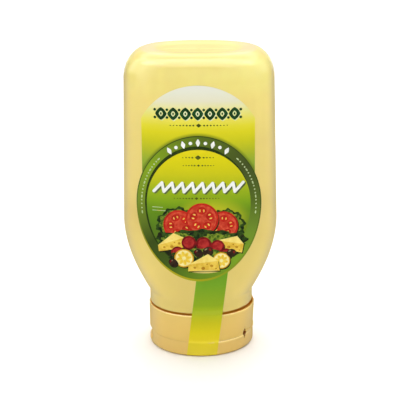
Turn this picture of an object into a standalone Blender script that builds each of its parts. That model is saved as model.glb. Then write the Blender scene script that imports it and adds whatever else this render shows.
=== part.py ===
"""Squeeze bottle of mayonnaise, standing on its flip-top closure.

The bottle is an oval, shut and filled pack, so it is one solid. Its closure has a collar and a flip lid
with a hinge panel on the right and a flat for the thumb on the left. A die-cut label is on the front, and a
seal strip runs from under it, over the neck and the collar, down to the foot of the lid.

Metres, +Z up, +X to the right and -Y to the front. The origin is at the middle of the lid's foot.
"""

import math

import bmesh
import bpy
from mathutils import Vector

# Bottle, outside
TOTAL_HEIGHT = 0.170
BODY_WIDTH = 0.0855  # at its widest, low on the body
BODY_DEPTH = 0.056
TOP_WIDTH = 0.0820  # just under the rounded top corners
TOP_DEPTH = 0.0550
BODY_SQUARENESS = 2.75  # superellipse exponent of the section; 2 is an ellipse
CREST_SQUARENESS = 2.4
SHOULDER_HEIGHT = 0.0744  # the body starts to narrow below this
SHOULDER_POWER = 1.86
STEP_HEIGHT = 0.0326  # crease between the shoulder and the skirt
SKIRT_RADIUS = 0.02905
SKIRT_FOOT = 0.0255
SKIRT_EDGE = 0.0005
SIDE_CORNER_RUN = 0.0128  # rounding of the top, seen from the front
SIDE_CORNER_RISE = 0.0152
FRONT_CORNER_RUN = 0.0086  # rounding of the top, seen from the side
FRONT_CORNER_RISE = 0.0062
DISH_LIP = 0.0080  # width of the soft slope from the top's crest into its shallow dish
DISH_DEPTH = 0.0009
DISH_MIDDLE_DEPTH = 0.0010
DISH_MIDDLE_SQUARENESS = 2.2
SPIGOT_RADIUS = 0.0275  # the neck, where it enters the collar
SPIGOT_FOOT = 0.0201

# Closure. It is nearly round in plan, a little shallower than wide; a radius is half its width
PLAN_DEPTH_SHARE = 0.95
PLAN_SQUARENESS = 2.15
CLOSURE_RADIUS = 0.02955
RIM_RADIUS = 0.02995  # the collar flares a little to its rim
FLARE_FOOT = 0.0100
COLLAR_TOP = 0.0246
COLLAR_EDGE = 0.0005
POCKET_RADIUS = 0.0286
POCKET_FLOOR = 0.0198
SEAM_HEIGHT = 0.0086  # middle of the split between the collar and the lid
SEAM_GAP = 0.0003
LID_EDGE = 0.0018

# Hinge panel: part of the lid that stands up into the collar, between two slits
HINGE_AZIMUTH = 90.0  # degrees from the front towards the right
HINGE_HALF_ANGLE = 31.5
HINGE_TOP = 0.0109
HINGE_INNER_RADIUS = 0.0272
SLIT_FOOT = 0.0058
SLIT_TOP = 0.0124
SLIT_WIDTH = 0.0026
SLIT_END_WIDTH = 0.00016
SLIT_DEPTH = 0.0019
SLIT_POINTEDNESS = 1.5  # higher leaves its ends longer and thinner

# Flat for the thumb across the lid's wall, opposite the hinge, from NOTCH_FOOT up to the seam
NOTCH_FOOT = 0.0028
NOTCH_DEPTH = 0.0015

# Label and seal strip: thicker than film and a small gap off the wall, so that each is a solid
FILM_GAP = 0.0003
FILM_THICKNESS = 0.0003
ARCH_TOP = 0.1545
ARCH_RADIUS = 0.0340
PANEL_HALF_WIDTH = 0.0303
MEDALLION_HALF_WIDTH = 0.0339
MEDALLION_MIDDLE = 0.0885
MEDALLION_RISE = 0.0388
MEDALLION_DROP = 0.0435
STRIP_WIDTH = 0.0168
STRIP_TOP_OFFSET = 0.0066  # middle of the strip at STRIP_OFFSET_HEIGHT, to the right
STRIP_OFFSET_HEIGHT = 0.0440
STRIP_FOOT_OFFSET = 0.0011
STRIP_FOOT = 0.0007
STRIP_TO_LABEL = 0.0008

# Working sizes that leave no trace on the shapes
AXIS_RADIUS = 0.004  # innermost ring of a swept shape's flat ends
CUTTER_MARGIN = 0.002  # how far a cutter reaches past what it cuts
SLOPE_REACH = 0.0002  # how far to each side a wall's slope is measured
STRIP_TOP_ROUNDS = 4  # steps towards the height where the slanted strip meets the label's edge

# How finely the round shapes are divided
SECTION_POINTS = 72
CLOSURE_POINTS = 96
SHOULDER_STEPS = 12
CORNER_STEPS = 13
DISH_STEPS = 4
SKIRT_EDGE_STEPS = 3
COLLAR_EDGE_STEPS = 2
LID_EDGE_STEPS = 4
SLIT_STEPS = 8
SECTOR_STEP = 7.5  # degrees
LABEL_COLUMNS = 14
LABEL_ROWS = 17  # of each of its two shapes
STRIP_COLUMNS = 6
STRIP_SHOULDER_STEPS = 3

BOTTLE_GLOSS = 0.25
CLOSURE_GLOSS = 0.30
FILM_GLOSS = 0.35
BOTTLE_CREAM = (0.84, 0.69, 0.27)
COLLAR_CREAM = (0.76, 0.54, 0.17)
LID_CREAM = (0.73, 0.51, 0.15)
LABEL_GREEN = (0.36, 0.46, 0.05)
STRIP_GREEN = (0.36, 0.45, 0.04)


def clear_scene():
    for obj in list(bpy.data.objects):
        bpy.data.objects.remove(obj)


def plastic(name, colour, roughness):
    material = bpy.data.materials.new(name)
    material.use_nodes = True
    shader = material.node_tree.nodes["Principled BSDF"]
    shader.inputs["Base Color"].default_value = (*colour, 1.0)
    shader.inputs["Roughness"].default_value = roughness
    shader.inputs["Metallic"].default_value = 0.0
    return material


def new_object(name, mesh_data, material=None, smooth_angle=35.0):
    """An object from a bmesh, with its faces turned outwards and its round stretches shaded smooth."""
    bmesh.ops.recalc_face_normals(mesh_data, faces=mesh_data.faces)
    mesh = bpy.data.meshes.new(name)
    mesh_data.to_mesh(mesh)
    mesh_data.free()
    mesh.shade_smooth()
    mesh.set_sharp_from_angle(angle=math.radians(smooth_angle))
    obj = bpy.data.objects.new(name, mesh)
    bpy.context.scene.collection.objects.link(obj)
    if material is not None:
        mesh.materials.append(material)
    return obj


def loft(rings):
    """A closed bmesh through rings that have the same number of points, with a flat fan over each end."""
    mesh_data = bmesh.new()
    loops = [[mesh_data.verts.new(point) for point in ring] for ring in rings]
    count = len(loops[0])
    for lower, upper in zip(loops, loops[1:]):
        for i in range(count):
            j = (i + 1) % count
            mesh_data.faces.new((lower[i], lower[j], upper[j], upper[i]))
    for ring, loop in ((rings[0], loops[0]), (rings[-1], loops[-1])):
        middle = mesh_data.verts.new(sum(ring, Vector()) / count)
        for i in range(count):
            mesh_data.faces.new((loop[i], loop[(i + 1) % count], middle))
    return mesh_data


def mix(a, b, share):
    return a + (b - a) * share


def plan_radius(x, y):
    """The radius, in the closure's plan, of the wall through a point."""
    along, across = abs(x) ** PLAN_SQUARENESS, abs(y / PLAN_DEPTH_SHARE) ** PLAN_SQUARENESS
    return (along + across) ** (1.0 / PLAN_SQUARENESS)


def plan_front(x, radius):
    """The y of the front of a wall of the closure's plan."""
    share = 1.0 - (abs(x) / radius) ** PLAN_SQUARENESS
    return -radius * PLAN_DEPTH_SHARE * share ** (1.0 / PLAN_SQUARENESS)


# The bottle's section at a height


def shoulder_share(z):
    """0 at the step above the skirt, 1 where the body reaches its full width."""
    return min(1.0, max(0.0, (z - STEP_HEIGHT) / (SHOULDER_HEIGHT - STEP_HEIGHT)))


def rounding(z, rise, run):
    """How far the rounded top has drawn in at a height."""
    share = max(0.0, (z - (TOTAL_HEIGHT - rise)) / rise)
    return run * (1.0 - math.sqrt(max(0.0, 1.0 - share * share)))


def body_size(z, foot_size, full_size, top_size):
    """Half a width or depth: a curve up the shoulder, then a slight taper to the top."""
    if z < SHOULDER_HEIGHT:
        return mix(full_size, foot_size, (1.0 - shoulder_share(z)) ** SHOULDER_POWER)
    taper_top = TOTAL_HEIGHT - SIDE_CORNER_RISE
    return mix(full_size, top_size, (z - SHOULDER_HEIGHT) / (taper_top - SHOULDER_HEIGHT))


def half_width(z):
    size = body_size(z, SKIRT_RADIUS, BODY_WIDTH / 2, TOP_WIDTH / 2)
    return size - rounding(z, SIDE_CORNER_RISE, SIDE_CORNER_RUN)


def half_depth(z):
    size = body_size(z, SKIRT_RADIUS * PLAN_DEPTH_SHARE, BODY_DEPTH / 2, TOP_DEPTH / 2)
    return size - rounding(z, FRONT_CORNER_RISE, FRONT_CORNER_RUN)


def squareness(z):
    """Nearly round at the skirt, squarer along the body, and softer again at the top's crest."""
    if z < SHOULDER_HEIGHT:
        share = shoulder_share(z)
        return mix(PLAN_SQUARENESS, BODY_SQUARENESS, share * share * (3.0 - 2.0 * share))
    corner_share = max(0.0, (z - (TOTAL_HEIGHT - SIDE_CORNER_RISE)) / SIDE_CORNER_RISE)
    return mix(BODY_SQUARENESS, CREST_SQUARENESS, corner_share)


def oval(a, b, exponent, z, count=SECTION_POINTS):
    """A superellipse with half sizes a and b."""
    points = []
    for i in range(count):
        turn = 2.0 * math.pi * i / count
        x, y = a * math.cos(turn), b * math.sin(turn)
        reach = (abs(x / a) ** exponent + abs(y / b) ** exponent) ** (-1.0 / exponent)
        points.append(Vector((x * reach, y * reach, z)))
    return points


def front_of_body(x, z):
    """The y of the bottle's front wall."""
    a, b, exponent = half_width(z), half_depth(z), squareness(z)
    return -b * (1.0 - min(1.0, abs(x) / a) ** exponent) ** (1.0 / exponent)


def plan_oval(radius, z):
    return oval(radius, radius * PLAN_DEPTH_SHARE, PLAN_SQUARENESS, z)


def bottle_rings():
    rings = [plan_oval(SPIGOT_RADIUS, SPIGOT_FOOT), plan_oval(SPIGOT_RADIUS, SKIRT_FOOT)]
    for step in range(SKIRT_EDGE_STEPS + 1):
        turn = math.pi / 2 * step / SKIRT_EDGE_STEPS
        radius = SKIRT_RADIUS - SKIRT_EDGE * (1.0 - math.sin(turn))
        rings.append(plan_oval(radius, SKIRT_FOOT + SKIRT_EDGE * (1.0 - math.cos(turn))))
    heights = [mix(STEP_HEIGHT, SHOULDER_HEIGHT, i / SHOULDER_STEPS) for i in range(SHOULDER_STEPS + 1)]
    corner_foot = TOTAL_HEIGHT - SIDE_CORNER_RISE
    heights.append((SHOULDER_HEIGHT + corner_foot) / 2)
    for i in range(CORNER_STEPS + 1):
        heights.append(corner_foot + SIDE_CORNER_RISE * math.sin(math.pi / 2 * i / CORNER_STEPS))
    for z in heights:
        rings.append(oval(half_width(z), half_depth(z), squareness(z), z))
    a, b = half_width(TOTAL_HEIGHT), half_depth(TOTAL_HEIGHT)
    for step in range(1, DISH_STEPS + 1):
        share = step / DISH_STEPS
        sink = DISH_DEPTH * (1.0 - math.cos(math.pi * share)) / 2
        inset = DISH_LIP * share
        rings.append(oval(a - inset, b - inset, CREST_SQUARENESS, TOTAL_HEIGHT - sink))
    a, b = (a - DISH_LIP) / 2, (b - DISH_LIP) / 2
    rings.append(oval(a, b, DISH_MIDDLE_SQUARENESS, TOTAL_HEIGHT - DISH_MIDDLE_DEPTH))
    return rings


# The closure


def outer_point(azimuth, radius, z):
    """A point by its azimuth in degrees from the front towards the right."""
    x, y = math.sin(math.radians(azimuth)), -math.cos(math.radians(azimuth))
    reach = radius / plan_radius(x, y)
    return Vector((x * reach, y * reach, z))


def swept(profile, count=CLOSURE_POINTS):
    """A closed bmesh swept round the plan from (radius, height) pairs that run from the axis at the foot to
    the axis at the top."""
    azimuths = [360.0 * i / count for i in range(count)]
    return loft([[outer_point(azimuth, radius, z) for azimuth in azimuths] for radius, z in profile])


def sector_block(name, start, end, inner, outer, foot, top):
    """A cutter: a ring sector between two azimuths."""
    steps = max(2, round(abs(end - start) / SECTOR_STEP))
    rings = []
    for i in range(steps + 1):
        azimuth = mix(start, end, i / steps)
        corners = ((inner, foot), (outer, foot), (outer, top), (inner, top))
        rings.append([outer_point(azimuth, radius, z) for radius, z in corners])
    return cutter(name, loft(rings))


def cutter(name, mesh_data):
    obj = new_object(name, mesh_data)
    obj.hide_render = True
    obj.display_type = "WIRE"
    return obj


def cut(obj, *tools):
    for tool in tools:
        modifier = obj.modifiers.new("cut_" + tool.name, "BOOLEAN")
        modifier.operation = "DIFFERENCE"
        modifier.object = tool


def slit_cutter(name, azimuth):
    """A spindle-shaped cut beside the hinge panel."""
    rings = []
    inner = CLOSURE_RADIUS - SLIT_DEPTH
    outer = CLOSURE_RADIUS + CUTTER_MARGIN
    for i in range(SLIT_STEPS + 1):
        share = i / SLIT_STEPS
        width = max(SLIT_END_WIDTH, SLIT_WIDTH * math.sin(math.pi * share) ** SLIT_POINTEDNESS)
        spread = math.degrees(width / 2 / CLOSURE_RADIUS)
        corners = (
            (azimuth - spread, inner), (azimuth + spread, inner),
            (azimuth + spread, outer), (azimuth - spread, outer),
        )
        z = mix(SLIT_FOOT, SLIT_TOP, share)
        rings.append([outer_point(angle, radius, z) for angle, radius in corners])
    return cutter(name, loft(rings))


def notch_cutter():
    """A block that cuts the thumb's flat into the lid."""
    flat = CLOSURE_RADIUS - NOTCH_DEPTH
    beyond = CLOSURE_RADIUS + CUTTER_MARGIN
    reach = math.sqrt(CLOSURE_RADIUS ** 2 - flat ** 2) + CUTTER_MARGIN
    rings = []
    for z in (NOTCH_FOOT, SEAM_HEIGHT):
        corners = ((-beyond, -reach), (-flat, -reach), (-flat, reach), (-beyond, reach))
        rings.append([Vector((x, y, z)) for x, y in corners])
    return cutter("notch_cutter", loft(rings))


def closure_radius(z):
    """The outside of the closure, which flares above FLARE_FOOT."""
    share = min(1.0, max(0.0, (z - FLARE_FOOT) / (COLLAR_TOP - FLARE_FOOT)))
    return mix(CLOSURE_RADIUS, RIM_RADIUS, share)


def collar(material):
    foot = SEAM_HEIGHT + SEAM_GAP / 2
    profile = [(AXIS_RADIUS, foot), (CLOSURE_RADIUS, foot), (CLOSURE_RADIUS, FLARE_FOOT)]
    for step in range(COLLAR_EDGE_STEPS + 1):
        turn = math.pi / 2 * step / COLLAR_EDGE_STEPS
        radius = RIM_RADIUS - COLLAR_EDGE * (1.0 - math.cos(turn))
        profile.append((radius, COLLAR_TOP - COLLAR_EDGE * (1.0 - math.sin(turn))))
    profile += [(POCKET_RADIUS, COLLAR_TOP), (POCKET_RADIUS, POCKET_FLOOR), (AXIS_RADIUS, POCKET_FLOOR)]
    return new_object("closure_collar", swept(profile), material)


def lid(material):
    profile = [(AXIS_RADIUS, 0.0)]
    for step in range(LID_EDGE_STEPS + 1):
        turn = math.pi / 2 * step / LID_EDGE_STEPS
        radius = CLOSURE_RADIUS - LID_EDGE * (1.0 - math.sin(turn))
        profile.append((radius, LID_EDGE * (1.0 - math.cos(turn))))
    profile += [(CLOSURE_RADIUS, HINGE_TOP), (AXIS_RADIUS, HINGE_TOP)]
    return new_object("closure_lid", swept(profile), material)


def closure(collar_material, lid_material):
    """The collar, and the lid with its hinge panel, split along the seam."""
    start, end = HINGE_AZIMUTH - HINGE_HALF_ANGLE, HINGE_AZIMUTH + HINGE_HALF_ANGLE
    gap_angle = math.degrees(SEAM_GAP / 2 / CLOSURE_RADIUS)
    beyond = CLOSURE_RADIUS + CUTTER_MARGIN
    lid_top = SEAM_HEIGHT - SEAM_GAP / 2
    cutter_top = HINGE_TOP + CUTTER_MARGIN
    well_inside = HINGE_INNER_RADIUS / 2
    rest_of_rim = sector_block(
        "rim_cutter", end - gap_angle, start + gap_angle + 360.0, well_inside, beyond, lid_top, cutter_top
    )
    middle = cutter(
        "middle_cutter",
        swept([
            (AXIS_RADIUS, lid_top), (HINGE_INNER_RADIUS, lid_top),
            (HINGE_INNER_RADIUS, cutter_top), (AXIS_RADIUS, cutter_top),
        ]),
    )
    panel_room = sector_block(
        "panel_cutter", start - gap_angle, end + gap_angle, HINGE_INNER_RADIUS - SEAM_GAP, beyond,
        SEAM_HEIGHT - CUTTER_MARGIN, HINGE_TOP + SEAM_GAP,
    )
    slits = [slit_cutter("slit_cutter_front", start), slit_cutter("slit_cutter_back", end)]
    cut(collar(collar_material), panel_room, *slits)
    cut(lid(lid_material), middle, rest_of_rim, *slits, notch_cutter())


# The label and the seal strip


def egg_half_width(z):
    """Half the width of the label's egg-shaped medallion."""
    reach = MEDALLION_RISE if z > MEDALLION_MIDDLE else MEDALLION_DROP
    share = (z - MEDALLION_MIDDLE) / reach
    return MEDALLION_HALF_WIDTH * math.sqrt(max(0.0, 1.0 - share * share))


def arch_half_width(z):
    """Half the width of the label's upper panel, which has a round top and straight sides."""
    drop = ARCH_TOP - z
    if drop < 0.0 or z < MEDALLION_MIDDLE:
        return 0.0
    below_top = min(drop, ARCH_RADIUS)
    return min(PANEL_HALF_WIDTH, math.sqrt(below_top * (2.0 * ARCH_RADIUS - below_top)))


def label_half_width(z):
    return max(arch_half_width(z), egg_half_width(z))


def label_heights():
    """Rows of the label, closer together where its outline turns over at the top and the foot."""
    foot = MEDALLION_MIDDLE - MEDALLION_DROP
    waist_share = math.sqrt(1.0 - (PANEL_HALF_WIDTH / MEDALLION_HALF_WIDTH) ** 2)
    waist = MEDALLION_MIDDLE + MEDALLION_RISE * waist_share
    turns = [math.pi / 2 * i / (LABEL_ROWS + 1) for i in range(LABEL_ROWS + 1)]
    lower = [mix(foot, waist, 1.0 - math.cos(turn)) for turn in turns[1:]]
    upper = [mix(waist, ARCH_TOP, math.sin(turn)) for turn in turns]
    return lower + upper


def film(name, rows, material):
    """A thin closed sheet over rows of (inner point, outer point) pairs."""
    mesh_data = bmesh.new()
    inner = [[mesh_data.verts.new(pair[0]) for pair in row] for row in rows]
    outer = [[mesh_data.verts.new(pair[1]) for pair in row] for row in rows]
    for sheet in (inner, outer):
        for lower, upper in zip(sheet, sheet[1:]):
            for i in range(len(lower) - 1):
                mesh_data.faces.new((lower[i], lower[i + 1], upper[i + 1], upper[i]))
    edges = ([(i, 0) for i in range(len(rows))], [(i, -1) for i in range(len(rows))])
    ends = ([(0, j) for j in range(len(rows[0]))], [(len(rows) - 1, j) for j in range(len(rows[0]))])
    for path in edges + ends:
        for (i, j), (k, m) in zip(path, path[1:]):
            mesh_data.faces.new((inner[i][j], inner[k][m], outer[k][m], outer[i][j]))
    return new_object(name, mesh_data, material)


def wall_point(x, z, front, distance):
    """A point off a wall whose y is front(x, z), along the wall's normal."""
    y = front(x, z)
    slope_x = (front(x + SLOPE_REACH, z) - front(x - SLOPE_REACH, z)) / (2.0 * SLOPE_REACH)
    slope_z = (front(x, z + SLOPE_REACH) - front(x, z - SLOPE_REACH)) / (2.0 * SLOPE_REACH)
    normal = Vector((slope_x, -1.0, slope_z)).normalized()
    return Vector((x, y, z)) + normal * distance


def label(material):
    rows = []
    for z in label_heights():
        reach = label_half_width(z)
        row = []
        for i in range(LABEL_COLUMNS + 1):
            x = mix(-reach, reach, i / LABEL_COLUMNS)
            near = wall_point(x, z, front_of_body, FILM_GAP)
            far = wall_point(x, z, front_of_body, FILM_GAP + FILM_THICKNESS)
            row.append((near, far))
        rows.append(row)
    return film("label", rows, material)


def strip_wall(x, z):
    """The front wall that the strip lies on: the shoulder, the skirt, the collar and the lid."""
    if z >= STEP_HEIGHT:
        return front_of_body(x, z)
    if z > COLLAR_TOP:
        radius = mix(RIM_RADIUS, SKIRT_RADIUS, (z - COLLAR_TOP) / (STEP_HEIGHT - COLLAR_TOP))
    else:
        radius = closure_radius(z)
    return plan_front(x, radius)


def strip_middle(z):
    share = (z - STRIP_FOOT) / (STRIP_OFFSET_HEIGHT - STRIP_FOOT)
    return mix(STRIP_FOOT_OFFSET, STRIP_TOP_OFFSET, share)


def label_edge_height(x):
    """The height of the medallion's lower edge at an x."""
    share = x / MEDALLION_HALF_WIDTH
    return MEDALLION_MIDDLE - MEDALLION_DROP * math.sqrt(max(0.0, 1.0 - share * share))


def strip_x(across, z):
    return strip_middle(z) + STRIP_WIDTH * (across - 0.5)


def strip_top(across):
    """The height where the strip ends, a little below the label's edge."""
    z = STRIP_OFFSET_HEIGHT
    for _ in range(STRIP_TOP_ROUNDS):
        z = label_edge_height(strip_x(across, z)) - STRIP_TO_LABEL
    return z


def seal_strip(material):
    columns = [i / STRIP_COLUMNS for i in range(STRIP_COLUMNS + 1)]
    levels = [STRIP_FOOT, 2.0 * LID_EDGE, SEAM_HEIGHT, FLARE_FOOT, COLLAR_TOP, STEP_HEIGHT]
    heights = [[z] * len(columns) for z in levels]
    for step in range(1, STRIP_SHOULDER_STEPS + 1):
        share = step / STRIP_SHOULDER_STEPS
        heights.append([mix(STEP_HEIGHT, strip_top(across), share) for across in columns])
    rows = []
    for row in heights:
        points = [(strip_x(across, z), z) for across, z in zip(columns, row)]
        near = [wall_point(x, z, strip_wall, FILM_GAP) for x, z in points]
        far = [wall_point(x, z, strip_wall, FILM_GAP + FILM_THICKNESS) for x, z in points]
        rows.append(list(zip(near, far)))
    return film("seal_strip", rows, material)


def main():
    clear_scene()
    new_object("bottle", loft(bottle_rings()), plastic("bottle_cream", BOTTLE_CREAM, BOTTLE_GLOSS))
    collar_cream = plastic("collar_cream", COLLAR_CREAM, CLOSURE_GLOSS)
    closure(collar_cream, plastic("lid_cream", LID_CREAM, CLOSURE_GLOSS))
    label(plastic("label_print", LABEL_GREEN, FILM_GLOSS))
    seal_strip(plastic("strip_print", STRIP_GREEN, FILM_GLOSS))


main()
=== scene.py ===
"""Looks of the squeeze bottle of mayonnaise: moulded plastic, printed label, seal strip, floor and lights.

Metres, +Z up and -Y to the front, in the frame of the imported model. The label's print is drawn flat, in
millimetres, x to the right and z up, and then laid on the bottle's wall.
"""

import math

import bpy
from mathutils import Matrix, Vector, geometry


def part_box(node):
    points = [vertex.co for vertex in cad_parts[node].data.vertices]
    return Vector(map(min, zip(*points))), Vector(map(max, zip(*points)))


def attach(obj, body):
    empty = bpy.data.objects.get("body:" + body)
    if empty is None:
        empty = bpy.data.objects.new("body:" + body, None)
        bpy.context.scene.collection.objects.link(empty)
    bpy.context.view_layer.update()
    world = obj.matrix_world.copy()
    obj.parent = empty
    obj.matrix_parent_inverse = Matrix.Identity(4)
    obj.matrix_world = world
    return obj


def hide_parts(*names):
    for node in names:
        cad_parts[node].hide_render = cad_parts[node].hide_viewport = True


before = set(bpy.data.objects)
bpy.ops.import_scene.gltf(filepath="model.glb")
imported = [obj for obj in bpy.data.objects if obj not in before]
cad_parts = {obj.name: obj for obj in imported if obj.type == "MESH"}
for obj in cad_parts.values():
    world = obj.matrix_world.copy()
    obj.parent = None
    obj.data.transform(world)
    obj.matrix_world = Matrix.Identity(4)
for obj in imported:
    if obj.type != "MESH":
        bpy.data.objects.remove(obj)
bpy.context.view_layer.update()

MM = 0.001
FINE = 0.0001  # a step for slopes and soft edges, and for telling faces apart by their place

# Sizes read from the frame
BOTTLE_LOW, BOTTLE_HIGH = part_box("bottle")
COLLAR_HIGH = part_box("closure_collar")[1]
LID_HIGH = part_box("closure_lid")[1]
TOTAL_HEIGHT = BOTTLE_HIGH.z
BODY_WIDTH = BOTTLE_HIGH.x - BOTTLE_LOW.x
BODY_DEPTH = BOTTLE_HIGH.y - BOTTLE_LOW.y
COLLAR_TOP = COLLAR_HIGH.z
HINGE_TOP = LID_HIGH.z

# Bottle, the same forms as its solid's
TOP_WIDTH = 0.0820
TOP_DEPTH = 0.0550
BODY_SQUARENESS = 2.75
CREST_SQUARENESS = 2.4
SHOULDER_HEIGHT = 0.0744
SHOULDER_POWER = 1.86
STEP_HEIGHT = 0.0326
SKIRT_RADIUS = 0.02905
SKIRT_FOOT = 0.0256
SKIRT_EDGE = 0.0005
SIDE_CORNER_RUN = 0.0128
SIDE_CORNER_RISE = 0.0152
FRONT_CORNER_RUN = 0.0086
FRONT_CORNER_RISE = 0.0062
DISH_LIP = 0.0080  # width of the soft slope into the shallow dish
DISH_DEPTH = 0.0009
DISH_MIDDLE_DEPTH = 0.0010
DISH_MIDDLE_SQUARENESS = 2.1
SPIGOT_RADIUS = 0.0275
SPIGOT_FOOT = 0.0201
PARTING_LINE_PROUD = 0.00006  # the mould's parting line down both sides
PARTING_LINE_WIDTH = 0.0003
PINCH_PROUD = 0.00012  # the pinched seam across the dish
PINCH_WIDTH = 0.0005
PINCH_HALF_LENGTH = 0.021

# Closure. It is nearly round in plan, a little shallower than wide; a radius is half its width
PLAN_DEPTH_SHARE = 0.96
FOOT_SQUARENESS = 2.0
RIM_SQUARENESS = 2.2
CLOSURE_RADIUS = 0.02955
RIM_RADIUS = 0.02995
RIM_SHIFT = 0.00042  # the collar flares more on the right than on the left
RIM_TUCK = 0.022  # and this share less at the back
TUCK_START = 0.3  # how soon it comes in, from the sides on
TUCK_SLOPE = 8.0
FLARE_FOOT = 0.0100
COLLAR_EDGE = 0.0009
POCKET_RADIUS = 0.0293
POCKET_FLOOR = 0.0198
POCKET_EDGE = 0.00015  # bevel at the pocket's mouth
AXIS_RADIUS = 0.004  # where an inner face's flat fan to the axis begins
SHARP_EDGE = 0.00008  # bevel at the collar's foot
SEAM_HEIGHT = 0.0086
SEAM_GAP = 0.00002
LID_EDGE = 0.0018
LIP_PROUD = 0.00042  # the lid's rounded lip stands proud of the collar towards the hinge
LIP_HINGE_SHARE = 0.9  # of that, on the hinge panel
LIP_RISE = 0.0003  # from the seam down to where the lip is widest
LIP_FALL = 0.0022  # and on down to where it runs out
LIP_START = -20.0  # the lip grows from here over a run, in degrees from the front towards the right
LIP_START_RUN = 40.0
LIP_END = 180.0  # and fades over a run that ends here
LIP_END_RUN = 25.0
LIP_HINGE_RUN = 4.0  # over which it changes beside the hinge panel
HINGE_AZIMUTH = 90.0
HINGE_SAG = 0.0014  # how much lower the panel ends at its middle than beside the slits
HINGE_HALF_ANGLE = 31.5
HINGE_INNER_RADIUS = 0.0272
PANEL_PLAY = 0.0001  # behind the hinge panel
SLIT_FOOT = 0.0058
SLIT_TOP = 0.0124
SLIT_WIDTH = 0.0028
SLIT_DEPTH = 0.0024
SLIT_POINTEDNESS = 1.3  # 1 is a half sine wave, more narrows the ends
NOTCH_FOOT = 0.0028  # the flat for the thumb goes from here to the lid's top
NOTCH_DEPTH = 0.0019
NOTCH_RISE = 0.0008
NOTCH_EDGE = 0.0003
NOTCH_RISE_START = 145.0  # degrees from the hinge, where the lid's top begins to rise
NOTCH_RISE_RUN = 20.0

# Label and seal strip, in millimetres on the flat drawing
ARCH_TOP = 154.5
ARCH_RADIUS = 34.0
PANEL_HALF_WIDTH = 30.3
EGG_HALF_WIDTH = 33.9
EGG_MIDDLE = 88.5
EGG_RISE = 38.8
EGG_DROP = 43.5
DISC_HALF_WIDTH = 28.1
DISC_MIDDLE = 89.0
DISC_RISE = 30.7
DISC_DROP = 36.1
STRIP_WIDTH = 16.8
STRIP_TOP_OFFSET = 6.6
STRIP_OFFSET_HEIGHT = 44.0
STRIP_FOOT_OFFSET = 1.1
STRIP_FOOT = 0.7
PANEL_RAMP_FOOT = 108.0  # where each print's change of colour starts and ends
DISC_RAMP_FOOT = 52.0
DISC_RAMP_TOP = 120.0
STRIP_RAMP_TOP = 50.0
RING_MIDDLE = 88.7  # these four give the line that the ring's beads follow
RING_HALF_WIDTH = 31.0
RING_RISE = 34.8
RING_DROP = 39.8
DRAWING_STEP = 1.25  # spacing of the label sheet's inner points
FOOD_GLOW = (7.0, 80.0, 24.0, 15.0)  # x, z, half width and half height of the glow behind the food

# Films, in metres
STRIP_BRIDGE_TOP = 0.0278  # below this the strip leaves the skirt and spans the gap to the collar
LABEL_THICKNESS = 0.00012
STRIP_THICKNESS = 0.00008
FILM_SINK = 0.00004  # how far a film's back lies in the wall

# Where gloss changes and where light and shade are painted
DIM_START = 0.35  # how far a face turns from the eye before its gloss dims and painted shade begins, 0 to 1
DIM_END = 0.85
DIM_FADE_START = 0.014  # below the top, where the dimming starts to fade out
DIM_FADE_END = 0.004
FULL_SPECULAR_LEVEL = 0.5
TOP_FACE_DEPTH = 0.0002  # what lies less deep than this counts wholly as the top's face
TOP_PALE_START = 0.006  # painted reflection: the top's face turns paler from here sideways
TOP_PALE_END = 0.030
RIM_LINE_FOOT = 0.0010  # painted highlight along the collar's edge, below its top
RIM_LINE_TOP = 0.0004
LIP_LINE_FOOT = 0.0013  # painted highlight along the lid's lip, below the seam
LIP_LINE_TOP = 0.0005
LIP_LINE_START = 0.004  # and from here towards the hinge
LIP_LINE_END = 0.012

# Studio
WORLD_FRONT = 0.16
WORLD_BACK = 0.54
WORLD_SIDE_SHARE = 0.35  # the sides of the room against its middle
FLOOR_DROP = 0.00002  # keeps the floor's face just below the lid's
CAMERA_AZIMUTH = 2.0  # degrees from the front towards the right
CAMERA_DISTANCE = 0.70643
CAMERA_HEIGHT = 0.30377
CAMERA_PITCH = 17.351
CAMERA_ROLL = 0.0094  # radians
CAMERA_LENS = 118.75
CAMERA_SHIFT = -0.0006

# How finely the round shapes are divided
SECTION_POINTS = 240
PARTING_POINTS = (0.006, 0.012, 0.018)  # extra points beside the parting line, in radians
CLOSURE_POINTS = 240
SLIT_COLUMNS = 20
EDGE_STEPS = 6
SKIRT_STEPS = 6
SHOULDER_STEPS = 48
BODY_STEPS = 30
CORNER_STEPS = 30
DISH_STEPS = 16
COLLAR_ROWS = 56
LID_ROWS = 52
EGG_POINTS = 144
EGG_LOWER_STEPS = 46
EGG_UPPER_STEPS = 26
SIDE_STEPS = 20
ARCH_STEPS = 30
STRIP_COLUMNS = 24
STRIP_ROWS = 90


def mix(a, b, share):
    return a + (b - a) * share


def clamp(value):
    return min(1.0, max(0.0, value))


def smooth(share):
    share = clamp(share)
    return share * share * (3.0 - 2.0 * share)


def steps(start, end, count):
    """Even steps from one value to another, the last included and the first not."""
    return [mix(start, end, i / count) for i in range(1, count + 1)]


def edge_turns(first=0):
    """The turns, in radians, through a rounded edge."""
    return [math.radians(90.0 / EDGE_STEPS * i) for i in range(first, EDGE_STEPS + 1)]


# Materials


def linear(red, green, blue):
    """A screen colour, 0 to 255, as the linear one that a shader takes."""
    channels = []
    for value in (red, green, blue):
        share = value / 255.0
        channels.append(share / 12.92 if share <= 0.04045 else ((share + 0.055) / 1.055) ** 2.4)
    return (*channels, 1.0)


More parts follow.
